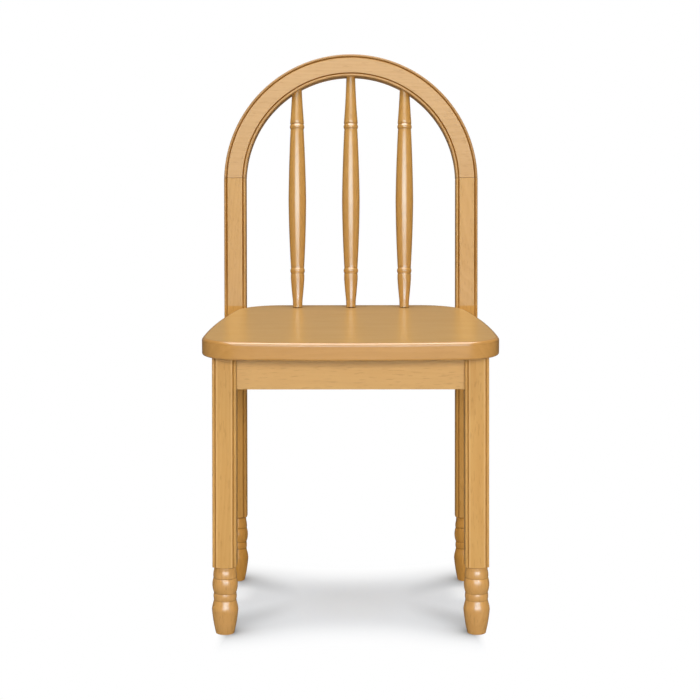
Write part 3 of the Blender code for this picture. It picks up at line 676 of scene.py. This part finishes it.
# The floor's paint. across is how far a place lies from the chair's middle, sideways.
def floorMaterial():
    paint = emptyMaterial("floorPaint")
    tree = paint.node_tree
    place = node(tree, "ShaderNodeSeparateXYZ",
                 {0: node(tree, "ShaderNodeTexCoord").outputs["Object"]}).outputs
    across = maths(tree, "ABSOLUTE", place[0])

    # It fades to plain white away from the shadow, painted light over the shade that falls outside:
    # sideways between two widths, and to the front and back between two depths, which grow by shadowSpread
    # times across squared.
    wide = smoothStep(tree, across, *room["shadowWidth"])
    deep = maths(tree, "ABSOLUTE", minus(tree, place[1], room["shadowMiddle"]))
    spread = times(tree, maths(tree, "POWER", across, 2.0), room["shadowSpread"])
    deep = smoothStep(tree, maths(tree, "ABSOLUTE", minus(tree, deep, spread)), *room["shadowDepth"])
    # Between a front foot and the rear one behind it, it fades towards white by a share: painted light over
    # the shade there.
    paintedLight = smoothStep(tree, across, *room["paintedLightWidth"])
    level = maths(tree, "ABSOLUTE", minus(tree, place[1], room["paintedLightMiddle"]))
    level = smoothStep(tree, level, *room["paintedLightDepth"])
    paintedLight = times(tree, times(tree, paintedLight, minus(tree, 1.0, level)), room["paintedLightShare"])
    away = maths(tree, "MAXIMUM", maths(tree, "MAXIMUM", wide, deep), paintedLight)

    # The shade is ambient occlusion to a power. A painted shadow, a darker streak, runs in from each foot
    # along depth = a slope times across, less a start, and dies away towards the middle.
    contact = node(tree, "ShaderNodeAmbientOcclusion", {"Distance": room["contactReach"]}).outputs["AO"]
    contact = maths(tree, "POWER", contact, room["contactPower"])
    slant = minus(tree, times(tree, across, room["paintedShadowSlope"]), room["paintedShadowStart"])
    gap = maths(tree, "ABSOLUTE", minus(tree, maths(tree, "ABSOLUTE", place[1]), slant))
    streak = minus(tree, 1.0, smoothStep(tree, gap, *room["paintedShadowReach"]))
    streak = times(tree, streak, smoothStep(tree, across, *room["paintedShadowWidth"]))
    contact = times(tree, contact, minus(tree, 1.0, times(tree, streak, room["paintedShadowShare"])))

    # What the camera sees is paint and glow under that shade; other things see plain grey.
    shaded = blend(tree, contact, (0, 0, 0), room["floorPaint"])
    shaded = node(tree, "ShaderNodeBsdfDiffuse", {"Color": shaded}).outputs[0]
    glow = glowing(tree, times(tree, contact, room["floorGlow"]))
    shaded = node(tree, "ShaderNodeAddShader", {0: shaded, 1: glow}).outputs[0]
    seen = node(tree, "ShaderNodeMixShader", {0: away, 1: shaded, 2: glowing(tree, 1.0)}).outputs[0]
    matt = node(tree, "ShaderNodeBsdfDiffuse", {"Color": (room["bouncePaint"],) * 3 + (1,)}).outputs[0]
    mixed = node(tree, "ShaderNodeMixShader", {0: seenRay(tree), 1: matt, 2: seen}).outputs[0]
    tree.links.new(mixed, node(tree, "ShaderNodeOutputMaterial").inputs[0])
    return paint


# The dome's grey: the high value up behind the chair, and the low one elsewhere.
def domeMaterial():
    grey = emptyMaterial("domeGrey")
    tree = grey.node_tree
    place = node(tree, "ShaderNodeSeparateXYZ",
                 {0: node(tree, "ShaderNodeTexCoord").outputs["Object"]}).outputs
    raised = smoothStep(tree, place[2], *room["domeRise"])
    behind = smoothStep(tree, place[1], *room["domeBack"])
    more = times(tree, times(tree, raised, behind), room["domeHigh"] - room["domeLow"])
    dim = glowing(tree, plus(tree, room["domeLow"], more))
    tree.links.new(dim, node(tree, "ShaderNodeOutputMaterial").inputs[0])
    return grey


corner = room["floorSize"] / 2
mesh = bpy.data.meshes.new("studio_floor")
mesh.from_pydata([(-corner, -corner, 0), (corner, -corner, 0), (corner, corner, 0), (-corner, corner, 0)],
                 [], [(0, 1, 2, 3)])
floor = bpy.data.objects.new("studio_floor", mesh)
scene.collection.objects.link(floor)
floor.visible_glossy = False
mesh.materials.append(floorMaterial())

bpy.ops.mesh.primitive_uv_sphere_add(segments=48, ring_count=24, radius=room["domeRadius"])
dome = bpy.context.object
dome.name = "studio_dome"
dome.visible_camera = dome.visible_diffuse = dome.visible_transmission = dome.visible_shadow = False
dome.data.materials.append(domeMaterial())

world = bpy.data.worlds.new("studio")
scene.world = world
world.use_nodes = True
tree = world.node_tree
tree.nodes.clear()
ambient = node(tree, "ShaderNodeBackground", {"Color": (1, 1, 1, 1), "Strength": room["ambient"]}).outputs[0]
white = node(tree, "ShaderNodeBackground", {"Color": (1, 1, 1, 1), "Strength": 1.0}).outputs[0]
mixed = node(tree, "ShaderNodeMixShader", {0: seenRay(tree), 1: ambient, 2: white}).outputs[0]
tree.links.new(mixed, node(tree, "ShaderNodeOutputWorld").inputs[0])

# The lamps. Gloss sees the softboxes and not the fills, and the two softboxes in front light
# nothing but gloss.
lamps = {
    "top_softbox": {"place": (0, -0.3, 2.5), "target": (0, 0, 0.4), "size": (2.4, 2.0), "power": 58},
    "front_softbox": {"place": (-0.15, -2.9, 1.82), "target": (0, 0, 0.8), "size": (3.4, 0.85), "power": 24,
                      "colour": (0.80, 1.06, 1.20), "diffuse": False},
    "low_softbox": {"place": (0.6, -4.6, 0.62), "target": (0, 0, 0.3), "size": (4.4, 0.80), "power": 34,
                    "colour": (0.74, 1.10, 1.40), "diffuse": False},
    "front_fill": {"place": (0.3, -2.6, 1.06), "target": (0, 0, 0.40), "size": (2.4, 0.55), "power": 46,
                   "glossy": False},
    "left_fill": {"place": (-2.2, -0.8, 1.0), "target": (0, 0, 0.3), "size": (1.2, 1.4), "power": 9,
                  "glossy": False},
    "right_fill": {"place": (2.2, -0.8, 1.0), "target": (0, 0, 0.3), "size": (1.2, 1.4), "power": 7,
                   "glossy": False},
    "back_fill": {"place": (0, 2.8, 1.3), "target": (0, 0, 0.5), "size": (2.4, 0.8), "power": 26,
                  "glossy": False},
}


def softbox(name, place, target, size, power, colour=(1, 1, 1), diffuse=True, glossy=True):
    light = bpy.data.lights.new(name, "AREA")
    light.shape = "RECTANGLE"
    light.size, light.size_y = size
    light.energy = power
    light.color = colour
    lamp = bpy.data.objects.new(name, light)
    scene.collection.objects.link(lamp)
    lamp.location = place
    lamp.rotation_euler = (Vector(target) - Vector(place)).to_track_quat("-Z", "Y").to_euler()
    lamp.visible_camera = False
    lamp.visible_diffuse = diffuse
    lamp.visible_glossy = glossy


for name, lamp in lamps.items():
    softbox(name, **lamp)
print("studio lit")

# The camera. focal is its focal length in pixels of a picture pictureWidth pixels wide.
view = {
    "focal": 1786.0, "pictureWidth": 700, "distance": 2.6070, "height": 0.8520, "pitch": 0.1572,
    "aside": 0.0060, "yaw": 0.0024, "roll": 0.0012, "clipEnd": 100.0,
}
lens = bpy.data.cameras.new("photo_camera")
lens.sensor_width = 36.0
lens.lens = view["focal"] / view["pictureWidth"] * lens.sensor_width
lens.clip_end = view["clipEnd"]
camera = bpy.data.objects.new("photo_camera", lens)
scene.collection.objects.link(camera)
camera.location = (view["aside"], middleDepth - view["distance"], view["height"])
camera.rotation_euler = (pi / 2 - view["pitch"], view["roll"], view["yaw"])
scene.camera = camera
scene.view_settings.view_transform = "Standard"

print("done")
